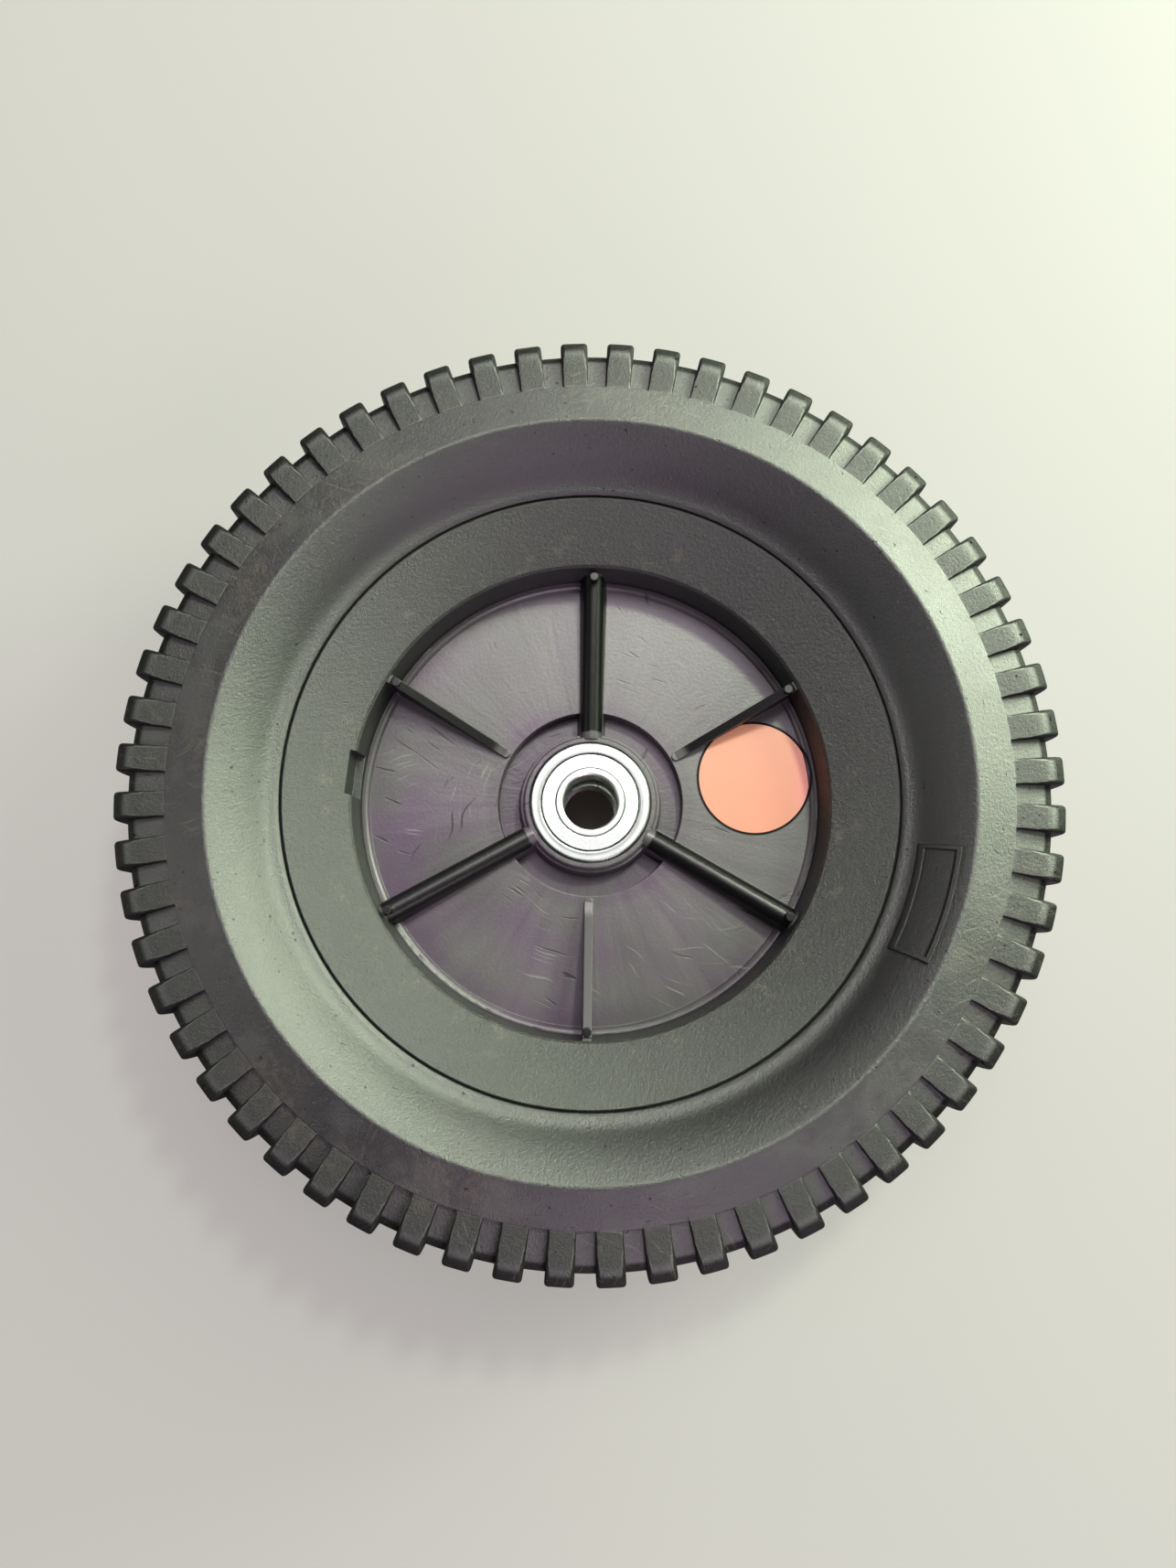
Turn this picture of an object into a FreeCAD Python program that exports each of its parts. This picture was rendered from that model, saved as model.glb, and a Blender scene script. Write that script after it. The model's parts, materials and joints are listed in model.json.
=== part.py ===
import FreeCAD, Part
import math
import os
import Sketcher

# Gate wheel, 8 inch nominal: a moulded tyre on a moulded wheel that runs on two shielded ball bearings.
# The wheel's axis is Y, its centre is the origin, and its deep outer side faces -Y.
# A "depth" is measured along +Y from the foremost ridge of the tyre. Lengths are mm, angles degrees.

SIZES = {
    # tyre
    "half_width": 26.2,
    "ridge_radius": 81.6,
    "ridge_round": 1.2,
    "seam_radius": 68.4,
    "seam_depth": 10.5,
    "seam_gap": 0.6,
    "lip_radius": 70.9,
    "lip_depth": 10.2,
    "dish_curve": 37.0,
    "ridge_inner_angle": 33.0,
    "ridge_outer_angle": 12.0,
    "shoulder_radius": 90.3,
    "shoulder_depth": 2.4,
    "groove_root_depth": 3.7,
    "groove_edge_radius": 96.6,
    "groove_edge_depth": 5.0,
    "groove_radius": 99.6,
    "groove_depth": 6.0,
    "groove_round": 14.0,
    "lug_root_depth": 2.6,
    "lug_edge_radius": 97.4,
    "lug_edge_depth": 2.9,
    "lug_corner_radius": 101.9,
    "lug_corner_depth": 4.1,
    "lug_radius": 102.3,
    "lug_depth": 8.2,
    "lug_round": 14.0,
    "lug_angle": 3.45,
    "lug_phase": 3.15,
    "lug_count": 60,
    "lug_sink": 0.5,
    "bead_depth": 19.0,
    "cavity_bead_radius": 73.5,
    "cavity_bead_depth": 17.5,
    "cavity_side_radius": 80.0,
    "cavity_side_depth": 10.5,
    "cavity_corner_radius": 90.5,
    "cavity_radius": 94.5,
    "cavity_tread_depth": 15.5,
    # blank arc-shaped frame raised on the dish
    "plaque_inner_radius": 71.6,
    "plaque_outer_radius": 79.0,
    "plaque_height": 0.8,
    "plaque_border": 0.9,
    "plaque_floor": 0.2,
    "plaque_angle": 19.0,
    "plaque_field_angle": 17.6,
    "plaque_place": 342.3,
    # moulded wheel, front
    "rim_edge_radius": 67.7,
    "rim_chamfer": 0.7,
    "wall_top_radius": 54.1,
    "wall_top_depth": 19.1,
    "wall_foot_radius": 53.3,
    "web_depth": 30.2,
    "foot_round": 1.6,
    "edge_round": 0.5,
    "edge_rise": 0.3,
    "recess_radius": 21.8,
    "recess_foot_radius": 21.6,
    "recess_depth": 34.4,
    "boss_foot_radius": 16.9,
    "boss_step_radius": 16.3,
    "boss_step_depth": 29.4,
    "boss_radius": 15.6,
    "boss_depth": 27.6,
    "boss_chamfer": 0.4,
    # moulded wheel, back
    "barrel_inner_radius": 64.4,
    "annulus_back_depth": 18.2,
    "trough_inner_radius": 57.5,
    "trough_inner_depth": 21.7,
    "web_back_depth": 33.6,
    "recess_back_radius": 25.0,
    "recess_back_depth": 37.9,
    "back_boss_radius": 18.4,
    "back_rib_thickness": 2.4,
    "back_rib_hub_depth": 47.0,
    "back_rib_rim_depth": 40.0,
    "back_rib_count": 6,
    "back_rib_sink": 1.2,
    # round spokes, thin ribs, pins and clip notch
    "spoke_count": 3,
    "spoke_round": 2.5,
    "spoke_arc": 2.501,
    "spoke_hub_radius": 15.0,
    "spoke_hub_depth": 26.9,
    "spoke_rim_radius": 55.0,
    "spoke_rim_depth": 22.3,
    "spoke_slope": 0.14,
    "spoke_foot_radius": 22.3,
    "spoke_sink": 1.2,
    "rib_width": 2.0,
    "rib_hub_radius": 22.2,
    "rib_hub_depth": 29.4,
    "rib_rim_radius": 54.6,
    "rib_rim_depth": 19.8,
    "pin_count": 6,
    "pin_radius": 0.95,
    "pin_place_radius": 52.1,
    "pin_depth": 19.8,
    "notch_width": 10.0,
    "notch_radius": 55.3,
    "notch_depth": 27.0,
    "notch_start_radius": 51.3,
    "notch_place": 175.0,
    # ball bearings, inch size R8 (1/2 x 1-1/8 x 5/16)
    "bearing_bore": 6.35,
    "bearing_radius": 14.2875,
    "bearing_half": 3.96875,
    "bearing_chamfer": 0.6,
    "bore_chamfer": 0.35,
    "front_bearing_place": 4.76875,
    "rear_bearing_place": 22.23125,
    "hub_bore": 12.2,
    "outer_face_radius": 11.6,
    "outer_land": 11.75,
    "shield_groove_radius": 12.1,
    "shield_lip": 0.35,
    "shield_groove_end": 1.05,
    "inner_face_radius": 8.0,
    "inner_land": 8.9,
    "inner_relief": 1.3,
    "pitch_radius": 10.32,
    "ball_radius": 1.984,
    "raceway_round": 2.05,
    "ball_count": 10,
    "shield_bore": 8.15,
    "shield_flat_radius": 11.2,
    "shield_rim_radius": 12.05,
    "shield_sheet": 0.3,
    "shield_inset": 0.15,
    "shield_rim_inset": 0.6,
    "cage_inner": 9.55,
    "cage_outer": 11.1,
    "cage_sheet": 0.36,
    "cage_pocket": 2.09,
    "rivet_radius": 0.35,
    "rivet_head_radius": 0.55,
    "rivet_head": 0.2,
    # round sticker on the web
    "label_radius": 12.4,
    "label_sheet": 0.15,
    "label_offset": 39.2,
    "label_place": 9.9,
}


class Size:
    """A dimension that knows both its value and the spreadsheet expression that gives it."""

    def __init__(self, value, text):
        self.value = value
        self.text = text

    def _join(self, other, sign, value):
        other_text = other.text if isinstance(other, Size) else repr(other)
        return Size(value, f"({self.text} {sign} {other_text})")

    def __add__(self, other):
        return self._join(other, "+", self.value + number(other))

    def __sub__(self, other):
        return self._join(other, "-", self.value - number(other))

    def __mul__(self, other):
        return self._join(other, "*", self.value * number(other))

    def __truediv__(self, other):
        return self._join(other, "/", self.value / number(other))

    def __neg__(self):
        return Size(-self.value, f"(-{self.text})")


def number(value):
    return value.value if isinstance(value, Size) else value


def make_sheet(doc):
    sheet = doc.addObject("Spreadsheet::Sheet", "sizes")
    for row, (alias, value) in enumerate(SIZES.items(), 1):
        sheet.set(f"A{row}", alias)
        sheet.set(f"B{row}", str(value))
        sheet.setAlias(f"B{row}", alias)
    doc.recompute()
    return {alias: Size(float(sheet.get(alias)), f"sizes.{alias}") for alias in SIZES}


doc = FreeCAD.newDocument("gate_wheel")
size = make_sheet(doc)
ORIGIN = Size(0.0, "0")


def at(depth):
    """The Y place of a depth behind the tyre's front ridge."""
    return depth - size["half_width"]


def bind(feature, name, value):
    """Give a feature's property a number, or bind it to the sheet."""
    setattr(feature, name, number(value))
    if isinstance(value, Size):
        feature.setExpression(name, value.text)


def new_body(label):
    body = doc.addObject("PartDesign::Body", label)
    body.Label = label
    return body


def origin_part(body, role):
    return next(item for item in body.Origin.OriginFeatures if item.Role == role)


def attach(item, body, role, offset=ORIGIN, turn=None):
    """Put a sketch or primitive on one of the body's own planes, moved along its normal or turned about Y."""
    item.AttachmentSupport = [(origin_part(body, role), "")]
    item.MapMode = "FlatFace"
    spin = FreeCAD.Rotation()
    if turn is not None:
        spin = FreeCAD.Rotation(FreeCAD.Vector(0, 1, 0), -turn.value)
    item.AttachmentOffset = FreeCAD.Placement(FreeCAD.Vector(0, 0, offset.value), spin)
    if offset is not ORIGIN:
        item.setExpression("AttachmentOffset.Base.z", offset.text)


def new_sketch(body, name, role, offset=ORIGIN, turn=None):
    sketch = body.newObject("Sketcher::SketchObject", name)
    attach(sketch, body, role, offset, turn)
    return sketch


def constrain(sketch, kind, *terms):
    """Add a dimension whose last term is a Size, bound to the sheet."""
    value = terms[-1]
    index = sketch.addConstraint(Sketcher.Constraint(kind, *terms[:-1], value.value))
    if value is not ORIGIN:
        sketch.setExpression(f"Constraints[{index}]", value.text)


def place_point(sketch, edge, end, corner):
    constrain(sketch, "DistanceX", -1, 1, edge, end, corner[0])
    constrain(sketch, "DistanceY", -1, 1, edge, end, corner[1])


def edge_between(start, end, bulge):
    """A straight edge, or an arc of radius |bulge| that swells to the left of start-end when bulge > 0."""
    p, q = (FreeCAD.Vector(corner[0].value, corner[1].value, 0) for corner in (start, end))
    if bulge is None:
        return Part.LineSegment(p, q)
    chord = q - p
    left = FreeCAD.Vector(-chord.y, chord.x, 0).normalize()
    radius = abs(bulge.value)
    rise = radius - math.sqrt(radius**2 - (chord.Length / 2) ** 2)
    middle = (p + q) * 0.5 + left * math.copysign(rise, bulge.value)
    return Part.Arc(p, middle, q)


def outline(sketch, corners):
    """Draw a closed outline. A corner is (x, y), or (x, y, bulge) where an arc leaves it."""
    count = len(corners)
    starts = []
    for index, corner in enumerate(corners):
        after = corners[(index + 1) % count]
        bulge = corner[2] if len(corner) > 2 else None
        edge = sketch.addGeometry(edge_between(corner, after, bulge), False)
        here = FreeCAD.Vector(corner[0].value, corner[1].value, 0)
        first = (sketch.getPoint(edge, 1) - here).Length < (sketch.getPoint(edge, 2) - here).Length
        starts.append((edge, 1 if first else 2, 2 if first else 1, bulge))
    for index, (edge, start, end, bulge) in enumerate(starts):
        after_edge, after_start = starts[(index + 1) % count][:2]
        sketch.addConstraint(Sketcher.Constraint("Coincident", edge, end, after_edge, after_start))
        place_point(sketch, edge, start, corners[index])
        if bulge is not None:
            positive = bulge if bulge.value > 0 else -bulge
            constrain(sketch, "Radius", edge, positive)


def circle(sketch, x, y, radius):
    middle = FreeCAD.Vector(x.value, y.value, 0)
    edge = sketch.addGeometry(Part.Circle(middle, FreeCAD.Vector(0, 0, 1), radius.value), False)
    place_point(sketch, edge, 3, (x, y))
    constrain(sketch, "Radius", edge, radius)


def turned(body, name, corners, angle=None, turn=None, cut=False):
    """Revolve an outline of (radius, y) corners about Y, all round or through a centred angle."""
    sketch = new_sketch(body, name + "_outline", "XY_Plane", turn=turn)
    outline(sketch, corners)
    kind = "PartDesign::Groove" if cut else "PartDesign::Revolution"
    feature = body.newObject(kind, name)
    feature.Profile = sketch
    feature.ReferenceAxis = (sketch, ["V_Axis"])
    feature.Refine = False
    if angle is not None:
        feature.Midplane = True
        bind(feature, "Angle", angle)
    return feature


def around(body, name, originals, count):
    """Repeat features evenly about the wheel's axis."""
    pattern = body.newObject("PartDesign::PolarPattern", name)
    pattern.Originals = originals
    pattern.Axis = (origin_part(body, "Y_Axis"), [""])
    pattern.Angle = 360
    pattern.Occurrences = round(count.value)
    pattern.setExpression("Occurrences", count.text)
    pattern.Refine = False
    body.Tip = pattern
    return pattern


def both_sides(front):
    """Complete an outline that is given for the front half of the tyre only."""
    back = []
    for index in range(len(front) - 1, -1, -1):
        corner = front[index]
        bulge = front[index - 1][2:] if index > 0 else ()
        back.append((corner[0], -corner[1], *bulge))
    return list(front) + back


# ---------------------------------------------------------------- tyre

def ridge_point(angle):
    """A point of the rounded ridge, at an angle from its crest; negative is towards the axis."""
    s = size
    turn = math.radians(angle.value)
    sine = Size(math.sin(turn), f"sin({angle.text} * 1 deg)")
    cosine = Size(math.cos(turn), f"cos({angle.text} * 1 deg)")
    return s["ridge_radius"] + s["ridge_round"] * sine, at(s["ridge_round"] - s["ridge_round"] * cosine)


def make_tyre():
    """U-shaped tyre section closed by the wheel's barrel, with bars all round the tread."""
    body = new_body("tyre")
    s = size
    front = [
        (s["seam_radius"], at(s["bead_depth"])),
        (s["seam_radius"], at(s["seam_depth"] + s["seam_gap"])),
        (s["seam_radius"] + s["seam_gap"], at(s["seam_depth"])),
        (s["lip_radius"], at(s["lip_depth"]), -s["dish_curve"]),
        (*ridge_point(-s["ridge_inner_angle"]), -s["ridge_round"]),
        ridge_point(s["ridge_outer_angle"]),
        (s["shoulder_radius"], at(s["shoulder_depth"])),
        (s["shoulder_radius"], at(s["groove_root_depth"])),
        (s["groove_edge_radius"], at(s["groove_edge_depth"]), -s["groove_round"]),
        (s["groove_radius"], at(s["groove_depth"])),
    ]
    hollow = [
        (s["cavity_radius"], at(s["cavity_tread_depth"])),
        (s["cavity_corner_radius"], at(s["cavity_side_depth"])),
        (s["cavity_side_radius"], at(s["cavity_side_depth"])),
        (s["cavity_bead_radius"], at(s["cavity_bead_depth"])),
    ]
    back_hollow = [(radius, -y) for radius, y in reversed(hollow)]
    turned(body, "carcass", both_sides(front) + back_hollow + hollow)
    sink = s["lug_sink"]
    lug_side = [
        (s["shoulder_radius"] - sink, at(s["groove_edge_depth"] + sink)),
        (s["shoulder_radius"] - sink, at(s["lug_root_depth"])),
        (s["lug_edge_radius"], at(s["lug_edge_depth"]), -s["lug_round"]),
        (s["lug_corner_radius"], at(s["lug_corner_depth"])),
        (s["lug_radius"], at(s["lug_depth"])),
    ]
    base = [(s["groove_radius"] - sink * 2, at(s["groove_depth"] + sink * 2))]
    lug_outline = both_sides(base + lug_side)
    lug = turned(body, "lug", lug_outline, angle=s["lug_angle"], turn=s["lug_phase"])
    around(body, "lugs", [lug], s["lug_count"])
    return body


def dish_band(inner, outer, low, high):
    """Corners of a strip that follows the tyre's dish between two heights over it."""
    foot = (size["lip_radius"], at(size["lip_depth"]))
    top = ridge_point(-size["ridge_inner_angle"])
    run, rise = top[0] - foot[0], top[1] - foot[1]
    steepness = 1 + (rise.value / run.value) ** 2
    sag = run * run * steepness**1.5 / (size["dish_curve"] * 8)

    def dish(radius, height):
        share = (radius - foot[0]) / run
        return foot[1] + rise * share - sag * 4 * share * (-share + 1) - height

    curve = -size["dish_curve"]
    return [(inner, dish(inner, low)), (inner, dish(inner, high), curve),
            (outer, dish(outer, high)), (outer, dish(outer, low))]


def add_plaque(body):
    """Blank raised frame on the dish, with a lower field inside its border."""
    s = size
    raised, border = s["plaque_height"], s["plaque_border"]
    inner, outer = s["plaque_inner_radius"], s["plaque_outer_radius"]
    plate = dish_band(inner, outer, -raised, raised)
    turned(body, "plaque", plate, angle=s["plaque_angle"], turn=s["plaque_place"])
    field = dish_band(inner + border, outer - border, s["plaque_floor"], raised * 2)
    turned(body, "plaque_field", field, angle=s["plaque_field_angle"], turn=s["plaque_place"], cut=True)


# ---------------------------------------------------------------- moulded wheel

def wheel_front():
    """Front outline of the wheel, from the bearing boss out to the barrel."""
    s = size
    return [
        (s["bearing_radius"], at(s["boss_depth"])),
        (s["boss_radius"] - s["boss_chamfer"], at(s["boss_depth"])),
        (s["boss_radius"], at(s["boss_depth"] + s["boss_chamfer"])),
        (s["boss_radius"], at(s["boss_step_depth"])),
        (s["boss_step_radius"], at(s["boss_step_depth"])),
        (s["boss_foot_radius"], at(s["recess_depth"])),
        (s["recess_foot_radius"], at(s["recess_depth"])),
        (s["recess_radius"], at(s["web_depth"])),
        (s["wall_foot_radius"] - s["foot_round"], at(s["web_depth"]), -s["foot_round"]),
        (s["wall_foot_radius"], at(s["web_depth"] - s["foot_round"])),
        (s["wall_top_radius"], at(s["wall_top_depth"] + s["edge_round"])),
        (s["wall_top_radius"] + s["edge_round"], at(s["wall_top_depth"] - s["edge_rise"])),
        (s["rim_edge_radius"], at(s["seam_depth"] + s["rim_chamfer"])),
        (s["seam_radius"], at(s["seam_depth"] + s["rim_chamfer"] * 2)),
    ]


def wheel_back():
    """Back outline of the wheel, from the barrel in to the rear bearing's seat."""
    s = size
    return [
        (s["seam_radius"], -at(s["seam_depth"] + s["rim_chamfer"] * 2)),
        (s["rim_edge_radius"], -at(s["seam_depth"] + s["rim_chamfer"])),
        (s["barrel_inner_radius"], -at(s["seam_depth"] + s["rim_chamfer"])),
        (s["barrel_inner_radius"], at(s["annulus_back_depth"])),
        (s["trough_inner_radius"], at(s["trough_inner_depth"])),
        (s["trough_inner_radius"], at(s["web_back_depth"])),
        (s["recess_back_radius"], at(s["web_back_depth"])),
        (s["recess_back_radius"], at(s["recess_back_depth"])),
        (s["back_boss_radius"], at(s["recess_back_depth"])),
        (s["boss_step_radius"], s["half_width"] - s["boss_chamfer"]),
        (s["bearing_radius"], s["half_width"] - s["boss_chamfer"]),
        (s["bearing_radius"], s["rear_bearing_place"] - s["bearing_half"]),
        (s["hub_bore"], s["rear_bearing_place"] - s["bearing_half"]),
        (s["hub_bore"], s["front_bearing_place"] + s["bearing_half"]),
        (s["bearing_radius"], s["front_bearing_place"] + s["bearing_half"]),
    ]


def spoke_section(body, name, radius, crest, base):
    """Round-topped spoke section that widens towards its base, at a distance out along +Z."""
    sketch = new_sketch(body, name, "XY_Plane", offset=radius)
    s = size
    top = crest + s["spoke_round"]
    half_foot = s["spoke_round"] + (base - top) * s["spoke_slope"]
    outline(sketch, [
        (-s["spoke_round"], at(top), -s["spoke_arc"]),
        (s["spoke_round"], at(top)),
        (half_foot, at(base)),
        (-half_foot, at(base)),
    ])
    return sketch


def loft(body, name, near, far):
    feature = body.newObject("PartDesign::AdditiveLoft", name)
    feature.Profile = near
    feature.Sections = [far]
    feature.Ruled = True
    feature.Refine = False
    return feature


def spoke_crest(radius):
    """Depth of a spoke's crest at a distance from the axis."""
    s = size
    run = s["spoke_rim_radius"] - s["spoke_hub_radius"]
    climb = s["spoke_rim_depth"] - s["spoke_hub_depth"]
    return s["spoke_hub_depth"] + climb * (radius - s["spoke_hub_radius"]) / run


def add_spokes(body):
    """Three spokes; each has a deeper foot where it crosses the recess round the boss."""
    s = size
    near, far, foot = s["spoke_hub_radius"], s["spoke_rim_radius"], s["spoke_foot_radius"]
    web = s["web_depth"] + s["spoke_sink"]
    floor = s["recess_depth"] + s["spoke_sink"]
    spoke = loft(body, "spoke", spoke_section(body, "spoke_hub_end", near, spoke_crest(near), web),
                 spoke_section(body, "spoke_rim_end", far, spoke_crest(far), web))
    spoke_foot = loft(body, "spoke_foot", spoke_section(body, "foot_hub_end", near, spoke_crest(near), floor),
                      spoke_section(body, "foot_web_end", foot, spoke_crest(foot), floor))
    around(body, "spokes", [spoke, spoke_foot], s["spoke_count"])


def slab(body, name, corners, thickness):
    """Flat rib: an outline of (y, z) corners, given a thickness about the plane X = 0."""
    sketch = new_sketch(body, name + "_outline", "YZ_Plane")
    outline(sketch, corners)
    feature = body.newObject("PartDesign::Pad", name)
    feature.Profile = sketch
    feature.SideType = "Symmetric"
    feature.Refine = False
    bind(feature, "Length", thickness)
    return feature


def add_thin_ribs(body):
    """Three thin ribs with round noses that climb from the recess to the top of the wall."""
    s = size
    sunk = at(s["web_depth"] + s["spoke_sink"])
    start = s["rib_hub_radius"] + s["rib_width"] / 2
    rib = slab(body, "thin_rib", [
        (sunk, -start),
        (at(s["rib_hub_depth"]), -start),
        (at(s["rib_rim_depth"]), -s["rib_rim_radius"]),
        (sunk, -s["rib_rim_radius"]),
    ], s["rib_width"])
    nose = upright(body, "rib_nose", -start, s["rib_width"] / 2, s["rib_hub_depth"])
    around(body, "thin_ribs", [rib, nose], s["spoke_count"])


def upright(body, name, place, radius, top):
    """Round pin that stands on the web, at a distance along Z, up to a depth."""
    base = size["web_depth"] + size["spoke_sink"]
    sketch = new_sketch(body, name + "_outline", "XZ_Plane", offset=-at(base))
    circle(sketch, ORIGIN, place, radius)
    pin = body.newObject("PartDesign::Pad", name)
    pin.Profile = sketch
    pin.Refine = False
    bind(pin, "Length", base - top)
    return pin


def add_pins(body):
    """Upright pins against the wall at the outer end of every spoke and rib."""
    pin = upright(body, "pin", size["pin_place_radius"], size["pin_radius"], size["pin_depth"])
    around(body, "pins", [pin], size["pin_count"])


def add_back_ribs(body):
    """Ribs behind the web, from the boss across the trough to the barrel."""
    s = size
    sink = s["back_rib_sink"]
    rib = slab(body, "back_rib", [
        (at(s["recess_back_depth"] - sink), s["back_boss_radius"] - sink),
        (at(s["back_rib_hub_depth"]), s["back_boss_radius"] - sink),
        (at(s["back_rib_rim_depth"]), s["barrel_inner_radius"] + sink),
        (at(s["annulus_back_depth"] - sink * 2), s["barrel_inner_radius"] + sink),
        (at(s["trough_inner_depth"] - sink), s["trough_inner_radius"]),
        (at(s["web_back_depth"] - sink), s["trough_inner_radius"] - sink),
        (at(s["web_back_depth"] - sink), s["recess_back_radius"] - sink),
        (at(s["recess_back_depth"] - sink), s["recess_back_radius"] - sink * 2),
    ], s["back_rib_thickness"])
    around(body, "back_ribs", [rib], s["back_rib_count"])


def cut_notch(body):
    """Square notch in the wall for prising off a cover."""
    s = size
    half, start, end = s["notch_width"] / 2, s["notch_start_radius"], s["notch_radius"]
    corners = [(start, -half), (end, -half), (end, half), (start, half)]
    sketch = body.newObject("Sketcher::SketchObject", "notch_outline")
    attach(sketch, body, "XZ_Plane", offset=s["half_width"])
    spin = FreeCAD.Rotation(FreeCAD.Vector(0, 0, 1), s["notch_place"].value)
    sketch.AttachmentOffset = FreeCAD.Placement(sketch.AttachmentOffset.Base, spin)
    outline(sketch, corners)
    notch = body.newObject("PartDesign::Pocket", "notch")
    notch.Profile = sketch
    notch.Refine = False
    bind(notch, "Length", s["notch_depth"])


def make_wheel():
    body = new_body("wheel_moulding")
    turned(body, "section", wheel_front() + wheel_back())
    add_back_ribs(body)
    add_spokes(body)
    add_thin_ribs(body)
    add_pins(body)
    cut_notch(body)
    return body


# ---------------------------------------------------------------- sticker

def make_label():
    """Blank round sticker on the web."""
    body = new_body("label_dot")
    s = size
    place = math.radians(s["label_place"].value)
    middle = (s["label_offset"] * math.cos(place), s["label_offset"] * math.sin(place))
    sketch = new_sketch(body, "label_outline", "XZ_Plane", offset=-at(s["web_depth"]))
    circle(sketch, *middle, s["label_radius"])
    pad = body.newObject("PartDesign::Pad", "label_pad")
    pad.Profile = sketch
    bind(pad, "Length", s["label_sheet"])
    return body


# ---------------------------------------------------------------- ball bearings

def bearing_body(prefix, name):
    """A body whose own centre plane is the bearing's, placed along the axis."""
    body = new_body(f"{prefix}_{name}")
    body.Placement.Base.y = size[f"{prefix}_place"].value
    body.setExpression("Placement.Base.y", size[f"{prefix}_place"].text)
    return body


def raceway_reach(land):
    """Half the width of a raceway's mouth in a land of the given radius."""
    s = size
    reach = math.sqrt(s["raceway_round"].value ** 2 - (land.value - s["pitch_radius"].value) ** 2)
    text = f"sqrt({s['raceway_round'].text}^2 - ({land.text} - {s['pitch_radius'].text})^2)"
    return Size(reach, text)


def make_outer_race(prefix):
    body = bearing_body(prefix, "outer_race")
    s = size
    half, chamfer, rim = s["bearing_half"], s["bearing_chamfer"], s["bearing_radius"]
    reach = raceway_reach(s["outer_land"])
    lip, groove = half - s["shield_lip"], half - s["shield_groove_end"]
    inside = [
        (s["outer_face_radius"], half), (s["outer_face_radius"], lip),
        (s["shield_groove_radius"], lip), (s["shield_groove_radius"], groove),
        (s["outer_land"], groove), (s["outer_land"], reach, s["raceway_round"]),
    ]
    outside = [(rim - chamfer, -half), (rim, -half + chamfer), (rim, half - chamfer), (rim - chamfer, half)]
    below = [(corner[0], -corner[1]) for corner in reversed(inside)]
    turned(body, "ring", inside + below + outside)
    return body


def make_inner_race(prefix):
    body = bearing_body(prefix, "inner_race")
    s = size
    half, chamfer, bore = s["bearing_half"], s["bore_chamfer"], s["bearing_bore"]
    reach = raceway_reach(s["inner_land"])
    relief = half - s["inner_relief"]
    outside = [
        (s["inner_face_radius"], half), (s["inner_face_radius"], relief),
        (s["inner_land"], relief), (s["inner_land"], reach, -s["raceway_round"]),
    ]
    mouth = bore + chamfer
    inside = [(mouth, -half), (bore, -half + chamfer), (bore, half - chamfer), (mouth, half)]
    below = [(corner[0], -corner[1]) for corner in reversed(outside)]
    turned(body, "ring", outside + below + inside)
    return body


def make_balls(prefix):
    body = bearing_body(prefix, "balls")
    ball = body.newObject("PartDesign::AdditiveSphere", "ball")
    attach(ball, body, "XY_Plane")
    ball.setExpression("AttachmentOffset.Base.x", size["pitch_radius"].text)
    ball.Refine = False
    bind(ball, "Radius", size["ball_radius"])
    around(body, "balls_round", [ball], size["ball_count"])
    return body


def cross_round(body, kind, name, radius, reach):
    """A cylinder, or a cut of that shape, that lies across the ribbon and points out from the axis."""
    sketch = new_sketch(body, name + "_outline", "YZ_Plane", offset=size["pitch_radius"])
    circle(sketch, ORIGIN, ORIGIN, radius)
    feature = body.newObject(kind, name)
    feature.Profile = sketch
    feature.SideType = "Symmetric"
    feature.Refine = False
    bind(feature, "Length", reach)
    return feature


def make_cage_half(prefix, name, side):
    """Pressed ribbon with ten half-round pockets; side is +1 for the +Y half and -1 for the other."""
    body = bearing_body(prefix, name)
    s = size
    sheet, pocket = s["cage_sheet"], s["cage_pocket"]
    inner, outer = s["cage_inner"], s["cage_outer"]
    shell = pocket + sheet
    reach = (outer - inner) * 2
    facing = (lambda y: y) if side > 0 else (lambda y: -y)
    turned(body, "ribbon", [(inner, ORIGIN), (outer, ORIGIN), (outer, facing(sheet)), (inner, facing(sheet))])
    bump = cross_round(body, "PartDesign::Pad", "bump", shell, reach)
    around(body, "bumps", [bump], s["ball_count"])
    far, wide = shell * 1.5, reach * 1.5
    turned(body, "trim", [
        (s["pitch_radius"] - wide, facing(-far)), (s["pitch_radius"] + wide, facing(-far)),
        (s["pitch_radius"] + wide, facing(far)), (outer, facing(far)), (outer, ORIGIN), (inner, ORIGIN),
        (inner, facing(far)), (s["pitch_radius"] - wide, facing(far)),
    ], cut=True)
    hollow = cross_round(body, "PartDesign::Pocket", "hollow", pocket, reach)
    around(body, "hollows", [hollow], s["ball_count"])
    hole = rivet_feature(body, "PartDesign::Pocket", "rivet_hole", s["rivet_radius"], sheet * 3)
    around(body, "rivet_holes", [hole], s["ball_count"])
    return body


def rivet_feature(body, kind, name, radius, length, offset=ORIGIN):
    """A short cylinder or hole along the axis, midway between two pockets."""
    s = size
    angle = math.pi / s["ball_count"].value
    sketch = new_sketch(body, name + "_outline", "XZ_Plane", offset=offset)
    circle(sketch, s["pitch_radius"] * math.cos(angle), s["pitch_radius"] * math.sin(angle), radius)
    feature = body.newObject(kind, name)
    feature.Profile = sketch
    feature.Refine = False
    feature.SideType = "Symmetric"
    bind(feature, "Length", length)
    return feature


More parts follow.
